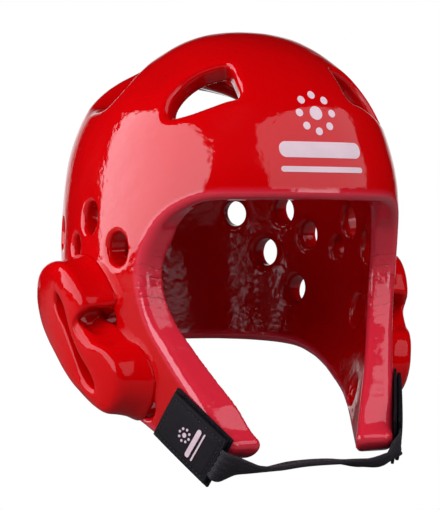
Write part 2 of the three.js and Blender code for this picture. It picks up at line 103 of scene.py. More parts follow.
# height, half width, front reach, back reach, squareness of the front, share of the wall's thickness
SHELL_ROWS = [
    (0.427, 0, 0, 0, 2.2, 1),
    (0.418, 0.274, 0.255, 0.254, 2.2, 1),
    (0.396, 0.453, 0.427, 0.441, 2.2, 1),
    (0.355, 0.6, 0.6, 0.602, 2.2, 1),
    (0.298, 0.737, 0.755, 0.746, 2.25, 1),
    (0.224, 0.853, 0.882, 0.873, 2.3, 1),
    (0.135, 0.937, 0.955, 0.949, 2.35, 1),
    (0.033, 0.979, 1, 0.992, 2.35, 1),
    (-0.102, 1, 1, 1, 2.2, 1),
    (-0.245, 0.984, 1.036, 0.966, 2, 1),
    (-0.388, 0.932, 1.191, 0.907, 1.85, 1.12),
    (-0.531, 0.879, 1.355, 0.831, 1.7, 1.45),
    (-0.694, 0.821, 1.455, 0.746, 1.6, 1.6),
]
WIDEST_ROW = 8
# azimuth, height, way of the cut
RIM_ROWS = [
    (0, 0.008, 0), (18, 0.008, 12), (33, 0.004, 35), (41, -0.016, 58), (47, -0.045, 72),
    (51, -0.082, 82), (54.5, -0.143, 80), (54, -0.204, 80), (51, -0.265, 84), (45, -0.327, 87),
    (39, -0.388, 90), (33, -0.449, 90), (28, -0.506, 84), (25, -0.535, 80), (27, -0.557, 85),
    (32, -0.569, 95), (39, -0.563, 95), (48, -0.541, 94), (58, -0.508, 92), (72, -0.467, 92),
    (87, -0.431, 92), (99, -0.4, 98), (110, -0.376, 108), (123, -0.355, 122), (140, -0.345, 140),
    (160, -0.343, 160), (180, -0.343, 180),
]
# azimuth, height; the front and side openings are cut towards a point on the head's axis
FRONT_AIM = 0.14
SIDE_AIM = 0.26
FRONT_OPENING = [
    (22, 0.245), (23, 0.286), (26, 0.318), (32, 0.314), (40.5, 0.296), (46, 0.266),
    (48.5, 0.229), (47.5, 0.198), (41, 0.201), (33, 0.218), (27, 0.233),
]
SIDE_OPENING = [
    (84, 0.278), (84.5, 0.318), (90, 0.363), (108, 0.39), (130, 0.401), (148, 0.402), (157, 0.38),
    (152, 0.351), (141, 0.322), (130, 0.282), (119, 0.245), (104, 0.229), (90, 0.239),
]
REAR_OPENING = [
    (180, 0.314), (165, 0.308), (150, 0.286), (141, 0.253),
    (138, 0.22), (144, 0.192), (162, 0.18), (180, 0.18),
]
# azimuth, height, radius
VENT_ROWS = [
    (84, -0.029, 1.067), (66, -0.102, 1.067), (95, -0.098, 0.8), (115, -0.065, 0.933),
    (128, 0, 0.933), (150, -0.008, 0.933), (137, -0.114, 1), (122, -0.212, 0.933),
    (74, -0.265, 1.133), (56, -0.457, 0.867),
]
# rear edge back and up, front edge back and up, slot back and up, slot half width
GUARD_ROWS = [
    (0.118, 0.494, 0.118, 0.494, 0.024, 0.282, 0),
    (0.306, 0.453, -0.059, 0.476, 0.012, 0.247, 0.035),
    (0.447, 0.365, -0.176, 0.406, -0.006, 0.2, 0.059),
    (0.506, 0.235, -0.259, 0.312, -0.035, 0.141, 0.053),
    (0.459, 0.1, -0.306, 0.2, -0.071, 0.071, 0.035),
    (0.341, -0.024, -0.229, 0.106, -0.106, -0.012, 0.026),
    (0.212, -0.129, -0.341, -0.018, -0.147, -0.094, 0.026),
    (0.094, -0.235, -0.471, -0.076, -0.188, -0.165, 0.035),
    (-0.035, -0.341, -0.553, -0.176, -0.229, -0.229, 0.047),
    (-0.176, -0.429, -0.576, -0.306, -0.271, -0.288, 0.041),
    (-0.306, -0.488, -0.529, -0.424, -0.3, -0.324, 0.024),
    (-0.424, -0.506, -0.424, -0.506, -0.318, -0.341, 0),
]
# Channel from the ear vent, scooped out of the guard between its lobes
EAR_VENT = VENT_ROWS[8]
EAR_SCOOP = 0.0085
EAR_SCOOP_HEIGHT = 0.0165
EAR_SCOOP_BACK = -0.0215
WALL_RINGS = 10
# The left guard is set a little higher and flatter than the right one
LEFT_GUARD_SHIFT = (-0.0025, 0, 0.005)
# side, azimuth and height of the middle, turn of the long side
PATCH_ROWS = {"right": (-1, 36, -0.52, 54), "left": (1, 37, -0.494, 54)}
# sideways, forward, height, turn of the flat side
STRAP_ROWS = [
    (-0.4, 0.932, -0.592, 14),
    (-0.221, 0.877, -0.596, 8),
    (0, 0.836, -0.59, 4),
    (0.232, 0.845, -0.589, 4),
    (0.4, 0.891, -0.593, 14),
    (0.526, 0.923, -0.584, 30),
]
# Hollows pressed into the foam on both sides: azimuth, height, radius, depth
HOLLOWS = [(112, 0.395, 0.034, 0.0085), (62, 0.32, 0.022, 0.003), (64, 0.08, 0.036, 0.003)]
# Folds in the skin: middle, way across them, radius, pitch, depth; on the shell their valleys also get
# painted shade
FOLDS = [
    ((-0.0665, -0.0665, -0.133), (0.1, 0.25, 0.96), 0.026, 0.0055, 1.6),
    ((0.0665, -0.0665, -0.133), (-0.1, 0.25, 0.96), 0.026, 0.0055, 1.6),
    ((-0.082, -0.042, -0.172), (0.1, 0.7, 0.7), 0.016, 0.0032, 1.4),
]
# The inside mask, which gives the inside its painted shade, fades out over this share past the inner form,
# and the rim's painted highlight over this way from its wall
INSIDE_FADE_DEPTH = 0.06
RIM_NEAR = 0.0004
RIM_FADE = 0.0016
# Brighter, pinker colour of the rim band: a painted highlight
RIM_PAINTED_HIGHLIGHT = (0.76, 0.025, 0.05, 1)
# Middle of the print on the brow
PRINT_X = 0.006
PRINT_Z = -0.0345
# Name, azimuth, elevation, distance, width, height, radiance, seen in reflections
LIGHTS = [
    ("key", -94, 19, 1.05, 1.9, 0.86, 2.9, True),
    ("fill", 32, 27, 1.0, 1.25, 0.72, 1.0, True),
    ("low", 26, -4, 1.0, 0.3, 0.4, 2.2, True),
    ("front", -20, 40, 1.3, 1.2, 0.8, 2.0, False),
    ("side", 60, 30, 1.3, 1.0, 1.0, 1.2, False),
    ("ear", -140, 5, 1.3, 0.8, 0.8, 1.2, False),
]
LIGHT_COLOUR = (1, 0.9, 1)
LIGHT_TARGET = (0, 0, -0.09)
# Camera azimuth in degrees and distance in metres; focal length, picture height and shifts in pixels
CAMERA_AZIMUTH = -26
CAMERA_DISTANCE = 1.15
FOCAL = 1916.7
PICTURE_HEIGHT = 510
SHIFT_X = -8
SHIFT_Y = -15
# Steps between two points of a line that is measured, and how a cut through the wall is looked for
LINE_STEPS = 300
CUT_REACH = 0.09
CUT_STEP = 0.001
# Rounds of smoothing before each time that the foam mesh is drawn onto the surfaces, and how far it looks
DRAW_ROUNDS = (6, 3, 2)
DRAW_REACH = 0.004
CROWN_TOP = SHELL_ROWS[0][0] * SHELL_HEIGHT
SEAT = WALL - CROWN_TOP


class HeadgearSizes(bpy.types.PropertyGroup):
    foam_mesh: FloatProperty(name="Foam mesh", description="Mesh size of the foam shell", default=0.0016,
                             min=0.001, unit="LENGTH")
    guard_points: IntProperty(name="Guard points", description="Points round each ear guard", default=160,
                              min=48)
    waviness: FloatProperty(name="Waviness", description="Depth of the soft unevenness of the foam",
                            default=0.00028, unit="LENGTH")
    print_width: FloatProperty(name="Print width", description="Width of the print on the brow",
                               default=0.052, unit="LENGTH")
    stitch_pitch: FloatProperty(name="Stitch pitch", description="Distance between stitches",
                                default=0.0027, unit="LENGTH")


class HeadgearColours(bpy.types.PropertyGroup):
    skin: FloatVectorProperty(name="Skin", description="Dipped vinyl skin", subtype="COLOR", size=4,
                              default=(0.66, 0.0006, 0.0022, 1))
    webbing: FloatVectorProperty(name="Webbing", description="Chin strap", subtype="COLOR", size=4,
                                 default=(0.012, 0.012, 0.014, 1))
    tab: FloatVectorProperty(name="Tab", description="Strap tabs", subtype="COLOR", size=4,
                             default=(0.0045, 0.0045, 0.006, 1))
    ink: FloatVectorProperty(name="Ink", description="Print on brow and tab", subtype="COLOR", size=4,
                             default=(0.86, 0.72, 0.75, 1))


# Curves and forms

def spline(values, flat_start=False):
    """Natural cubic spline through one column."""
    values = np.asarray(values, float)
    n = len(values)
    a = np.zeros((n, n))
    r = np.zeros(n)
    for i in range(1, n - 1):
        a[i, i - 1:i + 2] = 1, 4, 1
        r[i] = 6 * (values[i + 1] - 2 * values[i] + values[i - 1])
    a[0, 0] = a[-1, -1] = 1
    if flat_start:
        a[0, :2] = 2, 1
        r[0] = 6 * (values[1] - values[0])
    s = np.linalg.solve(a, r)

    def at(t):
        k = np.clip(np.floor(t).astype(int), 0, n - 2)
        f = t - k
        g = 1 - f
        return g * values[k] + f * values[k + 1] + ((g**3 - g) * s[k] + (f**3 - f) * s[k + 1]) / 6

    return at


def cubic(p, a, b, w):
    """The curve from p[1] to p[2] with the slopes a and b, at the shares w."""
    return p[1] + a * w + (3 * (p[2] - p[1]) - 2 * a - b) * w**2 + (2 * (p[1] - p[2]) + a + b) * w**3


def length_along(line):
    return np.concatenate([[0], np.cumsum(np.linalg.norm(np.diff(line, axis=0), axis=1))])


def through(points, count, closed):
    """Points evenly spaced along a smooth line, and a function that reads other rows at the same places."""
    n = len(points)
    spans = n if closed else n - 1

    def curve(source, t, tension=None):
        source = np.asarray(source, float)
        k = np.clip(np.floor(t).astype(int), 0, spans - 1)
        w = (t - k)[:, None]
        if closed:
            p = [source[(k + j) % n] for j in (-1, 0, 1, 2)]
        else:
            wide = np.vstack([2 * source[0] - source[1], source, 2 * source[-1] - source[-2]])
            p = [wide[k + j] for j in range(4)]
        if tension is not None:
            return cubic(p, tension * (p[2] - p[0]), tension * (p[3] - p[1]), w)
        d = [np.maximum(np.sum((p[j + 1] - p[j]) ** 2, 1) ** 0.25, 1e-9)[:, None] for j in range(3)]
        a = ((p[1] - p[0]) / d[0] - (p[2] - p[0]) / (d[0] + d[1]) + (p[2] - p[1]) / d[1]) * d[1]
        b = ((p[2] - p[1]) / d[1] - (p[3] - p[1]) / (d[1] + d[2]) + (p[3] - p[2]) / d[2]) * d[1]
        return cubic(p, a, b, w)

    t = np.linspace(0, spans, LINE_STEPS * spans + 1)
    run = length_along(curve(points, t))
    share = np.arange(count) / count if closed else np.linspace(0, 1, count)
    where = np.interp(share * run[-1], run, t)
    return curve(points, where), lambda source, stiff: curve(source, where, stiff)


def height_of(share):
    """The height in the frame of a share of the shell's height."""
    return share * SHELL_HEIGHT + SEAT


def unit(v):
    return v / np.maximum(np.linalg.norm(v, axis=-1, keepdims=True), 1e-12)


class Form:
    """A foam form made of level sections; inset shrinks it evenly."""

    def __init__(self, inset):
        widest = SHELL_ROWS[WIDEST_ROW][0] * SHELL_HEIGHT
        columns = [[], [], [], [], []]
        for height, width, front, back, square, wall in SHELL_ROWS:
            z = height * SHELL_HEIGHT
            above = z > widest
            less = 0 if above else inset * wall

            def shrink(full):
                return (full - inset) / full if above else 1

            columns[0].append((widest + (z - widest) * shrink(CROWN_TOP - widest) if above else z) + SEAT)
            columns[1].append(width * HALF_WIDTH * shrink(HALF_WIDTH) - less)
            columns[2].append(front * FRONT_REACH * shrink(FRONT_REACH) - less)
            columns[3].append(back * BACK_REACH * shrink(BACK_REACH) - less)
            columns[4].append(square)
        self.height, self.width, self.front, self.back, self.square = [
            spline(c, i in (0, 4)) for i, c in enumerate(columns)
        ]
        self.last = len(SHELL_ROWS) - 1
        self.rows = np.linspace(0, self.last, 6001)
        self.heights = self.height(self.rows)

    def row_at(self, z):
        return np.interp(z, self.heights[::-1], self.rows[::-1])

    def radius(self, t, angle):
        c = np.cos(angle)
        s = np.abs(np.sin(angle))
        n = np.where(c >= 0, self.square(t), BACK_SQUARENESS)
        reach = np.where(c >= 0, self.front(t), self.back(t))
        reach = np.maximum(reach, 1e-7)
        width = np.maximum(self.width(t), 1e-7)
        return ((np.abs(c) / reach) ** n + (s / width) ** n) ** (-1 / n)

    def point(self, t, angle):
        t, angle = np.broadcast_arrays(np.asarray(t, float), np.asarray(angle, float))
        r = np.where(t <= 1e-6, 0, self.radius(np.maximum(t, 1e-6), angle))
        return np.stack([r * np.sin(angle), -r * np.cos(angle), self.height(t)], -1)

    def at(self, angle, z):
        return self.point(self.row_at(z), angle)

    def onto(self, p):
        """Points moved level onto the form."""
        return self.at(np.arctan2(p[:, 0], -p[:, 1]), np.minimum(p[:, 2], SEAT + 0.99 * CROWN_TOP))

    def level(self, p):
        t = np.maximum(self.row_at(p[:, 2]), 1e-4)
        inside = np.hypot(p[:, 0], p[:, 1]) / self.radius(t, np.arctan2(p[:, 0], -p[:, 1]))
        return np.where(p[:, 2] >= self.heights[0], 1 + 1000 * (p[:, 2] - self.heights[0]), inside)

    def normal(self, p):
        step = 0.0005 * np.eye(3)
        return unit(np.stack([self.level(p + d) - self.level(p - d) for d in step], -1))

    def side_at(self, y, z):
        t = self.row_at(z)
        n = np.where(y < 0, self.square(t), BACK_SQUARENESS)
        reach = np.where(y < 0, self.front(t), self.back(t))
        return self.width(t) * np.maximum(1 - (np.abs(y) / reach) ** n, 0.02) ** (1 / n)


outer = Form(0)
inner = Form(WALL)


def outer_spot(azimuth, height):
    """The point of the outside at an azimuth in degrees and a share of the height, as one row."""
    return outer.at(np.array([math.radians(azimuth)]), np.array([height_of(height)]))


# Smooth surfaces that the foam mesh is drawn onto

def tree_of(sheets):
    """A search tree of surfaces, each made of closed rings of points."""
    points, quads = [], []
    for rings in sheets:
        rows, count = rings.shape[:2]
        start = len(points)
        points.extend(map(tuple, rings.reshape(-1, 3)))
        for j in range(rows - 1):
            a = start + j * count
            for i in range(count):
                k = (i + 1) % count
                quads.append((a + i, a + k, a + count + k, a + count + i))
    return BVHTree.FromPolygons(points, quads)


def form_rings(form, around=300, rows=220):
    angle = np.radians(np.arange(around) * 360 / around)
    return form.point(np.linspace(0.002, form.last, rows)[:, None], angle[None, :])


def outline(rows, count):
    """A closed line on the outside of the shell, and the way it is cut."""
    angle, height, turn = np.array([tuple(r) + (0,) * (3 - len(r)) for r in rows], float).T
    line, also = through(outer.at(np.radians(angle), height_of(height)), count, True)
    turn = np.radians(turn)
    cut = also(np.stack([np.sin(turn), np.cos(turn), 0 * turn], 1), 0.3)
    return outer.onto(line), unit(np.stack([-cut[:, 0], cut[:, 1], 0 * cut[:, 0]], 1))


def across(points, form, outward):
    along = np.roll(points, -1, 0) - np.roll(points, 1, 0)
    side = unit(np.cross(along, form.normal(points)))
    if outward is None:
        sign = np.sum(side * (points - points.mean(0)))
    else:
        sign = np.sum(side * np.asarray(outward))
    return side if sign > 0 else -side


def cut_wall(points, into, radius, outward=None, steps=9):
    """The wall of an opening, from the outside to the inside, with both edges rolled."""
    high = np.full(len(points), CUT_REACH)
    for step in np.arange(CUT_STEP, CUT_REACH, CUT_STEP):
        free = (inner.level(points + into * step) <= 1) & (high > step)
        high = np.where(free, step, high)
    low = high - CUT_STEP
    for _ in range(24):
        mid = (low + high) / 2
        still = inner.level(points + into * mid[:, None]) > 1
        low = np.where(still, mid, low)
        high = np.where(still, high, mid)
    back = points + into * high[:, None]
    turn = np.minimum(radius, high * 0.45)[:, None]
    out_side = across(points, outer, outward)
    in_side = across(back, inner, outward)

    def rolled(start, side, way, angle):
        return start + side * turn * (1 - math.sin(angle)) + way * turn * (1 - math.cos(angle))

    rings = [rolled(points, out_side, into, angle) for angle in np.linspace(0, math.pi / 2, steps)]
    inward = [rolled(back, in_side, -into, angle) for angle in np.linspace(math.pi / 2, 0, steps)]
    middle = [rings[-1] + (inward[0] - rings[-1]) * s for s in (0.25, 0.5, 0.75)]
    return np.array(rings + middle + inward)


def mirror_rows(rows):
    """Rows that run down one side, and back up the other as their mirror image."""
    return rows + [(-r[0], r[1]) + tuple(-c for c in r[2:]) for r in reversed(rows[1:-1])]


def opening_walls():
    """The walls of every opening in the shell."""
    flip = np.array([-1, 1, 1])
    walls = []
    points, cut = outline(mirror_rows(RIM_ROWS), 900)
    walls.append(cut_wall(points, cut, EDGE_RADIUS, (0, 0.5, 0.8)))
    points, _ = outline(mirror_rows(REAR_OPENING), 260)
    walls.append(cut_wall(points, unit(points * [-1, -1, 0]), CROWN_EDGE_RADIUS))
    for rows, target in ((FRONT_OPENING, FRONT_AIM), (SIDE_OPENING, SIDE_AIM)):
        points, _ = outline(rows, 240)
        aim = np.array([0, 0, height_of(target)])
        wall = cut_wall(points, unit(aim - points), CROWN_EDGE_RADIUS)
        walls += [wall, wall * flip]
    for azimuth, height, size in VENT_ROWS:
        middle = outer_spot(azimuth, height)
        out = outer.normal(middle)[0]
        side = unit(np.cross((0, 0, 1), out))
        up = np.cross(out, side)
        a = np.linspace(0, 2 * math.pi, 56, endpoint=False)[:, None]
        radius = size * VENT_RADIUS * VENT_SWELL
        points = outer.onto(middle + side * radius * np.cos(a) + up * radius * VENT_TALLNESS * np.sin(a))
        wall = cut_wall(points, np.broadcast_to(-out, points.shape), VENT_EDGE_RADIUS)
        walls += [wall, wall * flip]
    return walls


# Mesh helpers

def linked(name, data):
    """A new object in the scene."""
    made = bpy.data.objects.new(name, data)
    bpy.context.scene.collection.objects.link(made)
    return made


def mesh_of(name, bm):
    """A mesh made from a bmesh, which is then freed."""
    mesh = bpy.data.meshes.new(name)
    bm.to_mesh(mesh)
    bm.free()
    return mesh


def new_piece(name, bm, finish, nodes=(), smooth=True):
    """Turns a bmesh into an object that rides on the headgear."""
    mesh = mesh_of(name, bm)
    mesh.polygons.foreach_set("use_smooth", [smooth] * len(mesh.polygons))
    mesh.update()
    piece = linked(name, mesh)
    mesh.materials.append(bpy.data.materials[finish])
    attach(piece, "root")
    if nodes:
        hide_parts(*nodes)
    return piece


def merged_copy(node):
    bm = bmesh.new()
    bm.from_mesh(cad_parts[node].data)
    bmesh.ops.remove_doubles(bm, verts=bm.verts, dist=1e-6)
    return bm


def remeshed(bm, size):
    """A bmesh rebuilt as an even mesh of small quads."""
    mesh = mesh_of("rough", bm)
    rough = linked("rough", mesh)
    change = rough.modifiers.new("even", "REMESH")
    change.mode = "VOXEL"
    change.voxel_size = size
    shown = rough.evaluated_get(bpy.context.evaluated_depsgraph_get())
    bm = bmesh.new()
    bm.from_mesh(shown.to_mesh())
    bpy.data.objects.remove(rough)
    bpy.data.meshes.remove(mesh)
    return bm


def coordinates(bm):
    return np.array([v.co for v in bm.verts])


def place(bm, co):
    for v, p in zip(bm.verts, co.tolist()):
        v.co = p


def neighbours(bm):
    bm.verts.index_update()
    return np.array([(e.verts[0].index, e.verts[1].index) for e in bm.edges])


def relaxed(co, edges, rounds, share=0.5):
    """Each point drawn towards the mean of its neighbours."""
    a, b = edges.T
    degree = np.bincount(a, minlength=len(co)) + np.bincount(b, minlength=len(co))
    for _ in range(rounds):
        mean = np.stack(
            [np.bincount(a, co[b, k], len(co)) + np.bincount(b, co[a, k], len(co)) for k in range(3)], 1
        ) / degree[:, None]
        co = co + share * (mean - co)
    return co


def moved_out(bm, co, depth):
    """Points moved along the surface's normals."""
    place(bm, co)
    bm.normal_update()
    return co + np.array([v.normal for v in bm.verts]) * depth[:, None]


def drawn_onto(co, tree, reach):
    """Points moved to the nearest spot of a tree, where one is in reach."""
    out = co.copy()
    for i, p in enumerate(co.tolist()):
        spot = tree.find_nearest(p, reach)[0]
        if spot is not None:
            out[i] = spot
    return out


def grid(rings, closed_around=False):
    """A sheet of quads whose corners are rings of points, joined into a tube where it is closed."""
    rings = np.asarray(rings, float)
    if closed_around:
        rings = np.concatenate([rings, rings[:, :1]], 1)
    rows, count = rings.shape[:2]
    bm = bmesh.new()
    bmesh.ops.create_grid(bm, x_segments=count - 1, y_segments=rows - 1, size=1)
    for v in bm.verts:
        i = round((v.co.x + 1) / 2 * (count - 1))
        j = round((v.co.y + 1) / 2 * (rows - 1))
        v.co = rings[j, i]
    bmesh.ops.remove_doubles(bm, verts=bm.verts, dist=1e-6)
    bmesh.ops.recalc_face_normals(bm, faces=bm.faces)
    return bm


def block(width, length, thickness, across_cuts, along_cuts, edge, corner=0):
    """A box with rounded corners and edges, cut into small faces so that it can be bent."""
    bm = bmesh.new()
    bmesh.ops.create_cube(bm, size=1)
    bmesh.ops.scale(bm, vec=(width, length, thickness), verts=bm.verts)
    if corner:
        upright = [e for e in bm.edges if abs(e.verts[0].co.z - e.verts[1].co.z) > thickness / 2]
        bmesh.ops.bevel(bm, geom=upright, offset=corner, segments=6, profile=0.5, affect="EDGES",
                        material=-1)
    if edge:
        rims = [e for e in bm.edges if corner == 0 or abs(e.verts[0].co.z - e.verts[1].co.z) < thickness / 2]
        bmesh.ops.bevel(bm, geom=rims, offset=edge, segments=3, profile=0.5, affect="EDGES", material=-1)
    for axis, size, cuts in ((0, width, across_cuts), (1, length, along_cuts)):
        for k in range(1, cuts):
            spot = Vector((0, 0, 0))
            spot[axis] = size * (k / cuts - 0.5)
            way = Vector((0, 0, 0))
            way[axis] = 1
            everything = bm.verts[:] + bm.edges[:] + bm.faces[:]
            bmesh.ops.bisect_plane(bm, geom=everything, plane_co=spot, plane_no=way, dist=1e-7)
    return bm


def wave(co, size, seed):
    """Soft unevenness from -1 to 1."""
    shift = Vector((seed, 3 * seed, -2 * seed))
    return np.array([noise.noise(Vector(p) / size + shift) for p in co.tolist()])


# Material helpers

def feed(tree, node, *links):
    """Sets the named sockets of a node: each is linked, or given a value."""
    for name, value in links:
        socket = node.inputs[name]
        if isinstance(value, bpy.types.NodeSocket):
            tree.links.new(value, socket)
        else:
            socket.default_value = value
    return node


def add(tree, kind, *links, **settings):
    """A node with its settings and its sockets."""
    node = tree.nodes.new(kind)
    for name, value in settings.items():
        setattr(node, name, value)
    return feed(tree, node, *links)


def group(name, inputs, outputs):
    """An empty node group; inputs without a default are vectors, and all else is numbers."""
    tree = bpy.data.node_groups.new(name, "ShaderNodeTree")
    for label, default in inputs.items():
        kind = "NodeSocketVector" if default is None else "NodeSocketFloat"
        socket = tree.interface.new_socket(name=label, in_out="INPUT", socket_type=kind)
        if default is not None:
            socket.default_value = default
    for label in outputs:
        tree.interface.new_socket(name=label, in_out="OUTPUT", socket_type="NodeSocketFloat")
    return tree, tree.nodes.new("NodeGroupInput"), tree.nodes.new("NodeGroupOutput")


def used(tree, name, *links):
    """A node that holds a node group."""
    return add(tree, "ShaderNodeGroup", *links, node_tree=bpy.data.node_groups[name])


def maths(tree, operation, a, b=None, clamp=False):
    links = [(0, a)] + ([(1, b)] if b is not None else [])
    return add(tree, "ShaderNodeMath", *links, operation=operation, use_clamp=clamp).outputs[0]


def times(tree, a, b):
    return maths(tree, "MULTIPLY", a, b)


def plus(tree, a, b, clamp=False):
    return maths(tree, "ADD", a, b, clamp)


def ribs(tree, value):
    """Rounded ridges, one for each whole step of a value."""
    return maths(tree, "ABSOLUTE", maths(tree, "SINE", times(tree, value, math.pi)))


def cloud(tree, at, scale, detail=2.0, roughness=0.5, distortion=0.0):
    """The value of a noise texture."""
    return add(tree, "ShaderNodeTexNoise", ("Vector", at), ("Scale", scale), ("Detail", detail),
               ("Roughness", roughness), ("Distortion", distortion)).outputs[0]


def ranged(tree, value, low, high, to_low=0.0, to_high=1.0):
    node = add(tree, "ShaderNodeMapRange", ("Value", value), ("From Min", low), ("From Max", high),
               ("To Min", to_low), ("To Max", to_high))
    return node.outputs["Result"]


def material(name):
    """A material with a Principled surface."""
    made = bpy.data.materials.new(name)
    made.use_nodes = True
    tree = made.node_tree
    tree.nodes.clear()
    surface = tree.nodes.new("ShaderNodeBsdfPrincipled")
    out = tree.nodes.new("ShaderNodeOutputMaterial")
    tree.links.new(surface.outputs[0], out.inputs["Surface"])
    spot = tree.nodes.new("ShaderNodeTexCoord")
    return tree, surface, spot


def mixed(tree, factor, a, b):
    """Two colours mixed."""
    node = add(tree, "ShaderNodeMix", (0, factor), data_type="RGBA")
    first, second = [k for k, socket in enumerate(node.inputs) if socket.type == "RGBA"]
    feed(tree, node, (first, a), (second, b))
    return [socket for socket in node.outputs if socket.type == "RGBA"][0]


def bumped(tree, surface, height, distance, strength):
    bump = add(tree, "ShaderNodeBump", ("Height", height), ("Distance", distance), ("Strength", strength))
    feed(tree, surface, ("Normal", bump.outputs[0]))


def skin_group():
    """Dipped skin: orange peel, pinholes and handling marks."""
    inputs = {"Vector": None, "Peel": 1.0, "Marks": 1.0}
    tree, start, end = group("Dipped skin", inputs, ("Height", "Marks", "Tone"))
    at = start.outputs["Vector"]
    pits = add(tree, "ShaderNodeTexVoronoi", ("Vector", at), ("Scale", 95.0))
    pit = ranged(tree, pits.outputs["Distance"], 0.0, 0.05)
    hole = times(tree, maths(tree, "SUBTRACT", 1.0, pit), ranged(tree, cloud(tree, at, 34), 0.6, 0.66))
    peel = times(tree, cloud(tree, at, 260, 2, 0.4), start.outputs["Peel"])
    height = plus(tree, times(tree, peel, 0.25), cloud(tree, at, 85))
    height = maths(tree, "SUBTRACT", height, times(tree, hole, 0.35))
    smear = ranged(tree, cloud(tree, at, 22, 5, 0.6, 0.8), 0.48, 0.72)
    feed(tree, end, ("Height", height), ("Marks", times(tree, smear, start.outputs["Marks"])),
         ("Tone", cloud(tree, at, 9)))


def crease_group():
    """Short folds that run one way within a round patch, with painted shade in their valleys."""
    inputs = {"Vector": None, "Centre": None, "Run": None, "Radius": 0.02, "Pitch": 0.004}
    tree, start, end = group("Skin folds", inputs, ("Height", "Shade"))
    at = start.outputs["Vector"]
    away = add(tree, "ShaderNodeVectorMath", (0, at), (1, start.outputs["Centre"]), operation="DISTANCE")
    share = maths(tree, "DIVIDE", away.outputs["Value"], start.outputs["Radius"])
    near = maths(tree, "SUBTRACT", 1.0, share, True)
    along = add(tree, "ShaderNodeVectorMath", (0, at), (1, start.outputs["Run"]), operation="DOT_PRODUCT")
    bent = plus(tree, along.outputs["Value"], times(tree, cloud(tree, at, 90), 0.006))
    ridge = ribs(tree, maths(tree, "DIVIDE", bent, start.outputs["Pitch"]))
    strength = times(tree, near, ranged(tree, cloud(tree, at, 150), 0.4, 0.6))
    # Valleys between the folds: the Shade output darkens the skin's colour as painted shade
    valley = maths(tree, "SUBTRACT", 1.0, ranged(tree, ridge, 0.0, 0.3), True)
    feed(tree, end, ("Height", times(tree, maths(tree, "POWER", ridge, 0.35), strength)),
         ("Shade", times(tree, valley, strength)))


def weave_group():
    """Woven tape, from a map that runs along and across it in metres."""
    tree, start, end = group("Woven tape", {"Vector": None, "Pitch": 0.0009}, ("Height", "Tone"))
    at = add(tree, "ShaderNodeSeparateXYZ", (0, start.outputs["Vector"]))
    u, v = [maths(tree, "DIVIDE", at.outputs[k], start.outputs["Pitch"]) for k in (0, 1)]
    weft = ribs(tree, plus(tree, u, times(tree, maths(tree, "FLOOR", v), 0.5)))
    height = times(tree, maths(tree, "POWER", ribs(tree, v), 0.6), maths(tree, "POWER", weft, 0.5))
    lint = cloud(tree, start.outputs["Vector"], 1600, 3)
    # Tone follows the weave's height, so the colour that it sets is painted shade between the threads and
    # painted light on them, with random lint
    feed(tree, end, ("Height", plus(tree, height, times(tree, lint, 0.35))),
         ("Tone", plus(tree, times(tree, height, 0.7), times(tree, lint, 0.6))))


def scaled(colour, share):
    return (colour[0] * share, colour[1] * share, colour[2] * share, 1)


def make_skin(name, colour, folds, with_painted_light=False):
    """The dipped skin; the shell's has a darker inside as painted shade, a brighter, pinker rim as painted
    highlight and painted shade in its folds.
    """
    tree, surface, spot = material(name)
    at = spot.outputs["Object"]
    skin = used(tree, "Dipped skin", ("Vector", at), ("Peel", 1.0), ("Marks", 1.0))
    height = skin.outputs["Height"]
    shade = 0.0
    for centre, run, radius, pitch, depth in folds:
        fold = used(tree, "Skin folds", ("Vector", at), ("Centre", centre), ("Run", run), ("Radius", radius),
                    ("Pitch", pitch))
        height = plus(tree, height, times(tree, fold.outputs["Height"], depth))
        shade = plus(tree, shade, times(tree, fold.outputs["Shade"], 1.6), True)
    base = mixed(tree, skin.outputs["Tone"], scaled(colour, 1.06), scaled(colour, 0.94))
    rough = ranged(tree, skin.outputs["Marks"], 0, 1, 0.05, 0.12)
    coat = 0.12
    if with_painted_light:
        inside = add(tree, "ShaderNodeAttribute", attribute_name="inside_painted_shade").outputs["Fac"]
        rim = add(tree, "ShaderNodeAttribute", attribute_name="rim").outputs["Fac"]
        # Painted shade: the inside gets a darker colour, where it stands in shade
        base = mixed(tree, inside, base, scaled(colour, 0.8))
        # Painted highlight: the rim band gets a brighter, pinker colour
        base = mixed(tree, rim, base, RIM_PAINTED_HIGHLIGHT)
        # Painted shade: the fold valleys darken the colour
        base = mixed(tree, shade, base, scaled(colour, 0.25))
        rough = plus(tree, rough, times(tree, inside, 0.07))
        coat = plus(tree, maths(tree, "SUBTRACT", 0.35, times(tree, inside, 0.35)), times(tree, rim, 0.65))
    feed(tree, surface, ("Base Color", base), ("Roughness", rough), ("Coat Weight", coat),
         ("Coat Roughness", 0.04), ("Specular IOR Level", 0.5 if with_painted_light else 0.3), ("IOR", 1.5))
    bumped(tree, surface, height, 0.0005, 0.9)


def make_cloth(name, colour, pitch, sheen, depth, gloss):
    """Woven tape, darker between its threads and lighter on them: painted shade and light that follow the
    weave, with a random lint tone.
    """
    tree, surface, spot = material(name)
    weave = used(tree, "Woven tape", ("Vector", spot.outputs["UV"]), ("Pitch", pitch))
    tone = weave.outputs["Tone"]
    feed(tree, surface, ("Base Color", mixed(tree, tone, scaled(colour, 0.45), scaled(colour, 1.8))),
         ("Roughness", ranged(tree, tone, 0, 1, 0.72, 0.5)), ("Specular IOR Level", gloss),
         ("Sheen Weight", sheen), ("Sheen Roughness", 0.4), ("Sheen Tint", (0.7, 0.7, 0.8, 1)))
    bumped(tree, surface, weave.outputs["Height"], depth, 0.9)


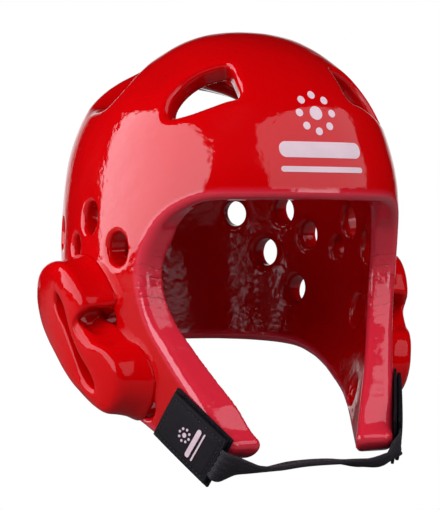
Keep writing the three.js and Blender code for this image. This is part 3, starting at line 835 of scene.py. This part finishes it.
class HEADGEAR_OT_materials(bpy.types.Operator):
    """Makes the finishes of the skin, tape, tabs, hooks, thread and ink"""

    bl_idname = "headgear.materials"
    bl_label = "Finishes"

    def execute(self, context):
        colours = context.scene.headgear_colours
        skin_group()
        crease_group()
        weave_group()
        make_skin("Red skin", colours.skin, FOLDS, True)
        make_skin("Red guard skin", colours.skin, [])
        make_cloth("Woven strap", colours.webbing, 0.0011, 0.06, 0.0003, 0.45)
        make_cloth("Woven tab", colours.tab, 0.0006, 0.015, 0.00012, 0.2)
        make_cloth("Hook tape", colours.tab, 0.0014, 0.02, 0.0006, 0.2)
        tree, surface, spot = material("Thread")
        twist = add(tree, "ShaderNodeTexWave", ("Vector", spot.outputs["Object"]), ("Scale", 900.0))
        thread = mixed(tree, twist.outputs["Fac"], scaled(colours.tab, 1.5), scaled(colours.tab, 5.0))
        feed(tree, surface, ("Base Color", thread), ("Roughness", 0.5))
        tree, surface, spot = material("White ink")
        skin = used(tree, "Dipped skin", ("Vector", spot.outputs["Object"]), ("Peel", 0.6), ("Marks", 1.0))
        ink = mixed(tree, skin.outputs["Marks"], colours.ink, scaled(colours.ink, 0.86))
        feed(tree, surface, ("Base Color", ink), ("Roughness", 0.25))
        bumped(tree, surface, skin.outputs["Height"], 0.0002, 0.5)
        return {"FINISHED"}


foam = {}


def pressed(co):
    """Points of the foam with the soft hollows pressed in."""
    for azimuth, height, radius, depth in HOLLOWS:
        for side in (1, -1):
            spot = outer_spot(side * azimuth, height)
            away = np.linalg.norm(co - spot, axis=1)
            co = co - outer.normal(spot)[0] * (depth * np.exp(-((away / radius) ** 2)))[:, None]
    return co


def on_foam(points, lift):
    """Points of the form, laid on the finished foam and lifted off it."""
    points = np.asarray(points, float)
    out = outer.normal(points)
    spots = np.array([foam["tree"].find_nearest(p)[0] for p in points.tolist()])
    return spots + out * np.asarray(lift).reshape(-1, 1)


class HEADGEAR_OT_shell(bpy.types.Operator):
    """Builds the foam shell with its openings, vents and rolled edges"""

    bl_idname = "headgear.shell"
    bl_label = "Foam shell"

    def execute(self, context):
        sizes = context.scene.headgear_sizes
        bm = remeshed(merged_copy("shell"), sizes.foam_mesh)
        walls = opening_walls()
        tree = tree_of([form_rings(outer), form_rings(inner), *walls])
        rim = tree_of(walls[:1])
        edges = neighbours(bm)
        co = coordinates(bm)
        for rounds in DRAW_ROUNDS:
            co = drawn_onto(relaxed(co, edges, rounds), tree, DRAW_REACH)
        co = relaxed(co, edges, 1, 0.4)
        # Mask of the inside, which smooths the inside here and darkens its colour as painted shade in the
        # skin
        deep = 1 - np.clip((inner.level(co) - 1.0) / INSIDE_FADE_DEPTH, 0, 1)
        # Nearness to the face rim's wall, which also gives the rim its painted highlight in the skin
        off_rim = np.array([rim.find_nearest(p)[3] for p in co.tolist()])
        edging = 1 - np.clip((off_rim - RIM_NEAR) / RIM_FADE, 0, 1)
        smooth = relaxed(co, edges, 8)
        co = co + (smooth - co) * (deep * (1 - edging))[:, None]
        depth = wave(co, 0.034, 1.7) + 0.35 * wave(co, 0.013, 5.1)
        co = pressed(moved_out(bm, co, sizes.waviness * depth * (1 - 0.9 * deep)))
        place(bm, co)
        foam["tree"] = BVHTree.FromBMesh(bm)
        piece = new_piece("foam_shell", bm, "Red skin", ("shell",))
        # Stored masks: the inside one for the painted shade inside, the rim one for the rim's painted
        # highlight
        for label, values in (("inside_painted_shade", deep), ("rim", edging)):
            layer = piece.data.attributes.new(label, "FLOAT", "POINT")
            layer.data.foreach_set("value", values)
        return {"FINISHED"}


def guard_rings(count):
    """Rings of one ear guard, from its foot inside the foam to the floor of its slot."""
    def spot(back, up):
        return np.array([0, GUARD_BACK + back * GUARD_LENGTH, GUARD_UP + up * GUARD_LENGTH + SEAT])

    edge, slot, middle = [], [], []

    def note(row, rear):
        here = spot(row[0], row[1]) if rear else spot(row[2], row[3])
        there = spot(row[2], row[3]) if rear else spot(row[0], row[1])
        centre = spot(row[4], row[5])
        edge.append(here)
        slot.append(centre + unit(here - there) * row[6] * GUARD_LENGTH)
        middle.append(centre)

    for row in GUARD_ROWS:
        note(row, True)
    for row in reversed(GUARD_ROWS[1:-1]):
        note(row, False)
    n = len(edge)

    def sample(anchors):
        anchors = np.array(anchors)
        t = np.arange(count) * n / count
        k = np.floor(t).astype(int)
        w = (t - k)[:, None]
        p = [anchors[(k + j) % n] for j in (-1, 0, 1, 2)]
        return cubic(p, 0.5 * (p[2] - p[0]), 0.5 * (p[3] - p[1]), w)

    edge, slot, middle = sample(edge), sample(slot), sample(middle)
    ways = unit(edge - slot)

    def lift(p, height):
        q = p.copy()
        q[:, 0] = outer.side_at(p[:, 1], p[:, 2]) + height
        return q

    vent = outer_spot(*EAR_VENT[:2])[0]

    def scooped(p):
        """Points of the front wall set back behind the channel of the ear vent."""
        q = p.copy()
        height = q[:, 0] - outer.side_at(q[:, 1], q[:, 2])
        size = EAR_SCOOP * np.sqrt(np.clip(1 - (np.maximum(height, 0) / EAR_SCOOP_HEIGHT) ** 2, 0, 1))
        half = np.sqrt(np.maximum(size**2 - (q[:, 2] - vent[2]) ** 2, 0))
        limit = np.minimum(vent[1] + half, EAR_SCOOP_BACK)
        ahead = (np.abs(q[:, 2] - vent[2]) < size) & (q[:, 1] < limit) & (q[:, 1] > vent[1] - EAR_SCOOP)
        q[:, 1] = np.where(ahead, limit, q[:, 1])
        q[:, 0] = outer.side_at(q[:, 1], q[:, 2]) + height
        return q

    r = GUARD_EDGE_RADIUS
    rings = []
    for grow, height in ((1.35, -0.0022), (1.2, -0.0004), (0.9, 0.0012), (0.6, 0.0032), (0.36, 0.0058),
                         (0.18, 0.0088), (0.06, 0.0118)):
        rings.append(lift(edge + ways * GUARD_DRAFT * grow, height))
    for angle in np.linspace(0, math.pi / 2, 9):
        rings.append(lift(edge - ways * r * (1 - math.cos(angle)), GUARD_PROUD - r * (1 - math.sin(angle))))
    for share, rise in ((0.35, 0.0004), (0.5, 0.0006), (0.65, 0.0006), (0.8, 0.0004)):
        rings.append(lift(edge + (slot - edge) * share, GUARD_PROUD + rise))
    for angle in np.linspace(0, math.pi / 2, 7):
        turn = SLOT_EDGE_RADIUS * (1 - math.sin(angle))
        rings.append(lift(slot + ways * turn, GUARD_PROUD - SLOT_EDGE_RADIUS * (1 - math.cos(angle))))
    for share, height in ((0.1, 0.0135), (0.2, 0.010), (0.4, 0.0065), (0.7, 0.0042)):
        rings.append(lift(slot + (middle - slot) * share, height))
    half = np.array([i if i <= count / 2 else count - i for i in range(count)])
    first = lift(middle[half], -0.004)
    last = lift(middle[half], GUARD_FLOOR)
    walls = [scooped(ring) for ring in rings[:WALL_RINGS]]
    return [first] + walls + rings[WALL_RINGS:] + [last]


class HEADGEAR_OT_guards(bpy.types.Operator):
    """Builds the two raised ear guards with their winding slots"""

    bl_idname = "headgear.guards"
    bl_label = "Ear guards"

    def execute(self, context):
        sizes = context.scene.headgear_sizes
        for side, name in ((1, "left"), (-1, "right")):
            bm = grid(guard_rings(sizes.guard_points), True)
            if side < 0:
                bmesh.ops.scale(bm, vec=(-1, 1, 1), verts=bm.verts)
            else:
                bmesh.ops.translate(bm, vec=LEFT_GUARD_SHIFT, verts=bm.verts)
            bmesh.ops.recalc_face_normals(bm, faces=bm.faces)
            co = relaxed(coordinates(bm), neighbours(bm), 2, 0.3)
            depth = wave(co, 0.02, 4.0 + side) + 0.3 * wave(co, 0.008, 7.0)
            place(bm, moved_out(bm, co, sizes.waviness * depth))
            piece = new_piece("foam_guard_" + name, bm, "Red guard skin", ("ear_guard_" + name,))
        return {"FINISHED"}


def on_cheek(row, x, y, lift):
    """Points of a cheek's own plane, laid on the outer form and lifted off it."""
    side, azimuth, height, turn = row
    x, y = np.asarray(x, float), np.asarray(y, float)
    middle = outer_spot(side * azimuth, height)
    out = outer.normal(middle)[0]
    level = unit(np.cross((0, 0, 1), out))
    up = np.cross(out, level)
    angle = math.radians(-turn) * side
    flat = (middle + level * (x * math.cos(angle) - y * math.sin(angle))[:, None]
            + up * (x * math.sin(angle) + y * math.cos(angle))[:, None])
    spots = outer.onto(flat)
    return spots + outer.normal(spots) * (np.asarray(lift) + TAB_CLEAR).reshape(-1, 1)


def write_map(bm, flat):
    """Stores flat places, in metres, as the piece's map."""
    layer = bm.loops.layers.uv.new("Map")
    for face in bm.faces:
        for loop in face.loops:
            p = flat[loop.vert.index]
            loop[layer].uv = (p[0], p[1] + p[2])


class HEADGEAR_OT_tabs(bpy.types.Operator):
    """Builds the hook patches, the strap tabs on them and their stitching"""

    bl_idname = "headgear.tabs"
    bl_label = "Patches and tabs"

    def execute(self, context):
        sizes = context.scene.headgear_sizes
        for name, row in PATCH_ROWS.items():
            bm = block(PATCH_WIDTH, PATCH_LENGTH, PATCH_THICKNESS, 14, 20, 0.0005)
            flat = coordinates(bm)
            place(bm, on_cheek(row, flat[:, 0], flat[:, 1], GAP / 2 + PATCH_THICKNESS / 2 + flat[:, 2]))
            bm.verts.index_update()
            write_map(bm, flat)
            new_piece("hook_pad_" + name, bm, "Hook tape", ("hook_patch_" + name,))

            bm = block(TAB_WIDTH, TAB_LENGTH, TAB_THICKNESS, 24, 34, 0.0007)
            flat = coordinates(bm)
            edge = np.abs(flat[:, 0]) / (TAB_WIDTH / 2)
            end = np.abs(flat[:, 1]) / (TAB_LENGTH / 2)
            crown = 0.0007 * (1 - np.clip(edge, 0, 1) ** 4) * (1 - np.clip(end, 0, 1) ** 6)
            seam = np.minimum((1 - edge) * TAB_WIDTH / 2, (1 - end) * TAB_LENGTH / 2)
            crown = crown - 0.0004 * np.exp(-(((seam - SEAM_INSET) / 0.0007) ** 2))
            rise = np.where(flat[:, 2] > 0, crown, 0)
            place(bm, on_cheek(row, flat[:, 0], flat[:, 1], TAB_LIFT + TAB_THICKNESS / 2 + flat[:, 2] + rise))
            bm.verts.index_update()
            write_map(bm, flat)
            new_piece("tab_" + name, bm, "Woven tab", ("strap_tab_" + name,))
            self.stitch(name, row, sizes.stitch_pitch)
        return {"FINISHED"}

    def stitch(self, name, row, pitch):
        bm = bmesh.new()
        w, l = TAB_WIDTH / 2 - SEAM_INSET, TAB_LENGTH / 2 - SEAM_INSET
        corners = [(-w, -l), (w, -l), (w, l), (-w, l)]
        lines = [(corners[i], corners[(i + 1) % 4]) for i in range(4)]
        lines.append(((-w, -l + 0.006), (w, -l + 0.006)))
        for (x0, y0), (x1, y1) in lines:
            run = math.hypot(x1 - x0, y1 - y0)
            count = int(run / pitch)
            for k in range(count):
                s = (k + 0.5) / count
                x, y = x0 + (x1 - x0) * s, y0 + (y1 - y0) * s
                made = bmesh.ops.create_uvsphere(bm, u_segments=6, v_segments=5, radius=0.5)["verts"]
                bmesh.ops.scale(bm, vec=(0.0006, 0.0006, 0.0006), verts=made)
                along = np.array([(x1 - x0) / run, (y1 - y0) / run])
                co = np.array([v.co for v in made])
                stretch = co[:, 0] * 3.3
                px = x + along[0] * stretch - along[1] * co[:, 1]
                py = y + along[1] * stretch + along[0] * co[:, 1]
                lift = TAB_LIFT + TAB_THICKNESS + 0.0002 + co[:, 2] - (stretch / 0.001) ** 2 * 0.0003
                for v, p in zip(made, on_cheek(row, px, py, lift)):
                    v.co = p
        bmesh.ops.recalc_face_normals(bm, faces=bm.faces)
        new_piece("tab_stitching_" + name, bm, "Thread")


def strap_path(count):
    """Middle line of the strap, the way across it, and the way out of its flat side."""
    middle = TAB_LIFT + TAB_THICKNESS / 2
    spots, ways = [], []

    def from_tab(row, beyond):
        y = -TAB_LENGTH / 2 - beyond
        p = on_cheek(row, [1e-3, -1e-3, 0], [y, y, y], [middle] * 3)
        way = unit(p[0] - p[1])
        spots.append(p[2])
        ways.append(-way if way[1] > 0 else way)

    from_tab(PATCH_ROWS["right"], -STRAP_TUCK)
    from_tab(PATCH_ROWS["right"], STRAP_TUCK)
    for x, y, z, turn in STRAP_ROWS:
        spots.append(np.array([x * HALF_WIDTH, -y * FRONT_REACH, height_of(z)]))
        ways.append(np.array([0, -math.cos(math.radians(turn)), math.sin(math.radians(turn))]))
    from_tab(PATCH_ROWS["left"], STRAP_TUCK)
    from_tab(PATCH_ROWS["left"], -STRAP_TUCK)
    line, also = through(spots, count, False)
    side = also(ways, 0.3)
    along = unit(np.gradient(line, axis=0))
    side = unit(side - along * np.sum(side * along, 1, keepdims=True))
    return line, side, np.cross(along, side)


class HEADGEAR_OT_strap(bpy.types.Operator):
    """Builds the chin strap between the two tabs"""

    bl_idname = "headgear.strap"
    bl_label = "Chin strap"

    def execute(self, context):
        count = 181
        line, side, out = strap_path(count)
        run = length_along(line)
        bm = block(1, STRAP_WIDTH, STRAP_THICKNESS, count - 1, 40, 0.0007)
        flat = coordinates(bm)
        t = np.clip((flat[:, 0] + 0.5) * (count - 1), 0, count - 1)
        k = np.minimum(t.astype(int), count - 2)
        f = (t - k)[:, None]

        def blend(a):
            return a[k] * (1 - f) + a[k + 1] * f

        spot = np.interp(t, np.arange(count), run)
        from_end = np.minimum(spot, run[-1] - spot)
        thin = 0.55 + 0.45 * np.clip((from_end - STRAP_TUCK) / (2 * STRAP_TUCK), 0, 1)
        narrow = STRAP_NARROW + (1 - STRAP_NARROW) * np.clip(from_end / STRAP_TAPER, 0, 1)
        rib = 0.00018 * np.cos(flat[:, 1] / STRAP_WIDTH * 10 * math.pi) * np.sign(flat[:, 2])
        place(bm, blend(line) + blend(side) * (flat[:, 1] * narrow)[:, None]
              + blend(out) * (flat[:, 2] * thin + rib)[:, None])
        bm.verts.index_update()
        write_map(bm, np.stack([spot, flat[:, 1], flat[:, 2]], 1))
        bmesh.ops.recalc_face_normals(bm, faces=bm.faces)
        new_piece("chin_webbing", bm, "Woven strap", ("chin_strap",))
        return {"FINISHED"}


def print_shapes(width):
    """Discs and bars of the print: middle, half size along and up, and whether it is a disc."""
    ring = width * 0.2
    drop = -width * 0.07
    shapes = [(0, drop, width * 0.075, width * 0.075, True)]
    for k in range(8):
        a = math.pi / 4 * k
        shapes.append((ring * math.cos(a), ring * math.sin(a) + drop, width * 0.042, width * 0.042, True))
    shapes.append((0, -width * 0.47, width * 0.5, width * 0.085, False))
    shapes.append((0, -width * 0.68, width * 0.5, width * 0.03, False))
    return shapes


def print_mesh(shapes, lay):
    """The shapes of the print in one bmesh, each put in place by lay."""
    bm = bmesh.new()
    for x, y, half, tall, disc in shapes:
        if disc:
            part = bmesh.new()
            bmesh.ops.create_cone(part, cap_ends=True, cap_tris=False, segments=36, radius1=half,
                                  radius2=half, depth=1)
        else:
            part = block(2 * half, 2 * tall, 1, 24, 1, 0, tall * 0.9)
        co = coordinates(part)
        place(part, lay(co[:, 0] + x, co[:, 1] + y, co[:, 2]))
        bmesh.ops.recalc_face_normals(part, faces=part.faces)
        mesh = mesh_of("shape", part)
        bm.from_mesh(mesh)
        bpy.data.meshes.remove(mesh)
    return bm


class HEADGEAR_OT_print(bpy.types.Operator):
    """Lays the plain print on the brow and on the right tab"""

    bl_idname = "headgear.print"
    bl_label = "Print"

    def execute(self, context):
        width = context.scene.headgear_sizes.print_width

        def on_brow(x, y, z):
            z0 = y + PRINT_Z
            angle = np.full(len(x), 0.0)
            for _ in range(6):
                p = outer.at(angle, z0)
                angle = angle + (x + PRINT_X - p[:, 0]) / np.hypot(p[:, 0], p[:, 1])
            return on_foam(outer.at(angle, z0), np.where(z > 0, 0.00022, -0.0004))

        new_piece("brow_print", print_mesh(print_shapes(width), on_brow), "White ink", smooth=False)

        row = PATCH_ROWS["right"]

        def on_tab(x, y, z):
            lift = TAB_LIFT + TAB_THICKNESS + np.where(z > 0, 0.00095, 0.0003)
            return on_cheek(row, x, y + 0.004, lift)

        new_piece("tab_print", print_mesh(print_shapes(0.018), on_tab), "White ink", smooth=False)
        return {"FINISHED"}


def softbox(name, azimuth, elevation, distance, width, height, radiance, mirrored):
    """An area light that faces the headgear; one that isn't mirrored lights it without a reflection."""
    light = bpy.data.lights.new(name, "AREA")
    light.shape = "RECTANGLE"
    light.size, light.size_y = width, height
    light.energy = radiance * math.pi * width * height
    light.color = LIGHT_COLOUR
    lamp = linked(name, light)
    a, e = math.radians(azimuth), math.radians(elevation)
    way = Vector((math.sin(a) * math.cos(e), -math.cos(a) * math.cos(e), math.sin(e)))
    lamp.location = Vector(LIGHT_TARGET) + way * distance
    lamp.rotation_mode = "QUATERNION"
    lamp.rotation_quaternion = way.to_track_quat("Z", "Y")
    lamp.visible_camera = False
    lamp.visible_glossy = mirrored


def shown_to_camera(tree, otherwise, seen, kind):
    """Gives the camera one shader, and all other rays another."""
    path = tree.nodes.new("ShaderNodeLightPath")
    mix = add(tree, "ShaderNodeMixShader", (0, path.outputs["Is Camera Ray"]), (1, otherwise.outputs[0]),
              (2, seen.outputs[0]))
    add(tree, kind, ("Surface", mix.outputs[0]))


class HEADGEAR_OT_stage(bpy.types.Operator):
    """Sets up the camera, the soft lights, the pale floor and the white surround"""

    bl_idname = "headgear.stage"
    bl_label = "Stage"

    def execute(self, context):
        scene = context.scene
        scene.view_settings.view_transform = "Standard"
        view = bpy.data.cameras.new("camera")
        camera = linked("camera", view)
        azimuth = math.radians(CAMERA_AZIMUTH)
        back = Vector((math.sin(azimuth), -math.cos(azimuth), 0))
        camera.location = Vector((0, 0, SEAT - 0.02)) + back * CAMERA_DISTANCE
        camera.rotation_mode = "QUATERNION"
        camera.rotation_quaternion = back.to_track_quat("Z", "Y")
        view.sensor_width = 36
        view.lens = FOCAL * view.sensor_width / PICTURE_HEIGHT
        view.shift_x = SHIFT_X / PICTURE_HEIGHT
        view.shift_y = SHIFT_Y / PICTURE_HEIGHT
        view.clip_start = 0.05
        scene.camera = camera

        for row in LIGHTS:
            softbox(*row)

        world = bpy.data.worlds.new("surround")
        scene.world = world
        world.use_nodes = True
        tree = world.node_tree
        tree.nodes.clear()
        spot = tree.nodes.new("ShaderNodeTexCoord")
        behind = add(tree, "ShaderNodeVectorMath", (0, spot.outputs["Generated"]), (1, tuple(-back)),
                     operation="DOT_PRODUCT")
        glow = ranged(tree, behind.outputs["Value"], 0.86, 0.97)
        high = add(tree, "ShaderNodeSeparateXYZ", (0, spot.outputs["Generated"]))
        low = ranged(tree, high.outputs[2], 0.45, 0.2)
        level = plus(tree, times(tree, times(tree, glow, low), 0.9), 0.004)
        light = add(tree, "ShaderNodeBackground", ("Color", (1, 0.98, 1, 1)), ("Strength", level))
        seen = add(tree, "ShaderNodeBackground", ("Color", (1, 1, 1, 1)), ("Strength", 1.0))
        shown_to_camera(tree, light, seen, "ShaderNodeOutputWorld")

        bm = bmesh.new()
        bmesh.ops.create_circle(bm, cap_ends=True, segments=96, radius=3)
        bmesh.ops.translate(bm, vec=(0, 0, cad_box[0].z - 0.004), verts=bm.verts)
        floor = linked("floor", mesh_of("floor", bm))
        paint = bpy.data.materials.new("Pale floor")
        paint.use_nodes = True
        tree = paint.node_tree
        tree.nodes.clear()
        matt = add(tree, "ShaderNodeBsdfDiffuse", ("Color", (0.22, 0.22, 0.22, 1)))
        shine = add(tree, "ShaderNodeEmission", ("Color", (1, 1, 1, 1)), ("Strength", 1.0))
        shown_to_camera(tree, matt, shine, "ShaderNodeOutputMaterial")
        floor.data.materials.append(paint)
        return {"FINISHED"}


class HEADGEAR_PT_panel(bpy.types.Panel):
    bl_label = "Headgear"
    bl_space_type = "VIEW_3D"
    bl_region_type = "UI"
    bl_category = "Headgear"

    def draw(self, context):
        for step in STEPS:
            self.layout.operator(step.bl_idname)


STEPS = (
    HEADGEAR_OT_stage,
    HEADGEAR_OT_materials,
    HEADGEAR_OT_shell,
    HEADGEAR_OT_guards,
    HEADGEAR_OT_tabs,
    HEADGEAR_OT_strap,
    HEADGEAR_OT_print,
)
CLASSES = (HeadgearSizes, HeadgearColours, *STEPS, HEADGEAR_PT_panel)


def register():
    for cls in CLASSES:
        bpy.utils.register_class(cls)
    bpy.types.Scene.headgear_sizes = PointerProperty(type=HeadgearSizes)
    bpy.types.Scene.headgear_colours = PointerProperty(type=HeadgearColours)


def unregister():
    del bpy.types.Scene.headgear_colours
    del bpy.types.Scene.headgear_sizes
    for cls in reversed(CLASSES):
        bpy.utils.unregister_class(cls)


def main():
    register()
    bpy.ops.headgear.stage()
    bpy.ops.headgear.materials()
    bpy.ops.headgear.shell()
    bpy.ops.headgear.guards()
    bpy.ops.headgear.tabs()
    bpy.ops.headgear.strap()
    bpy.ops.headgear.print()


if __name__ == "__main__":
    main()
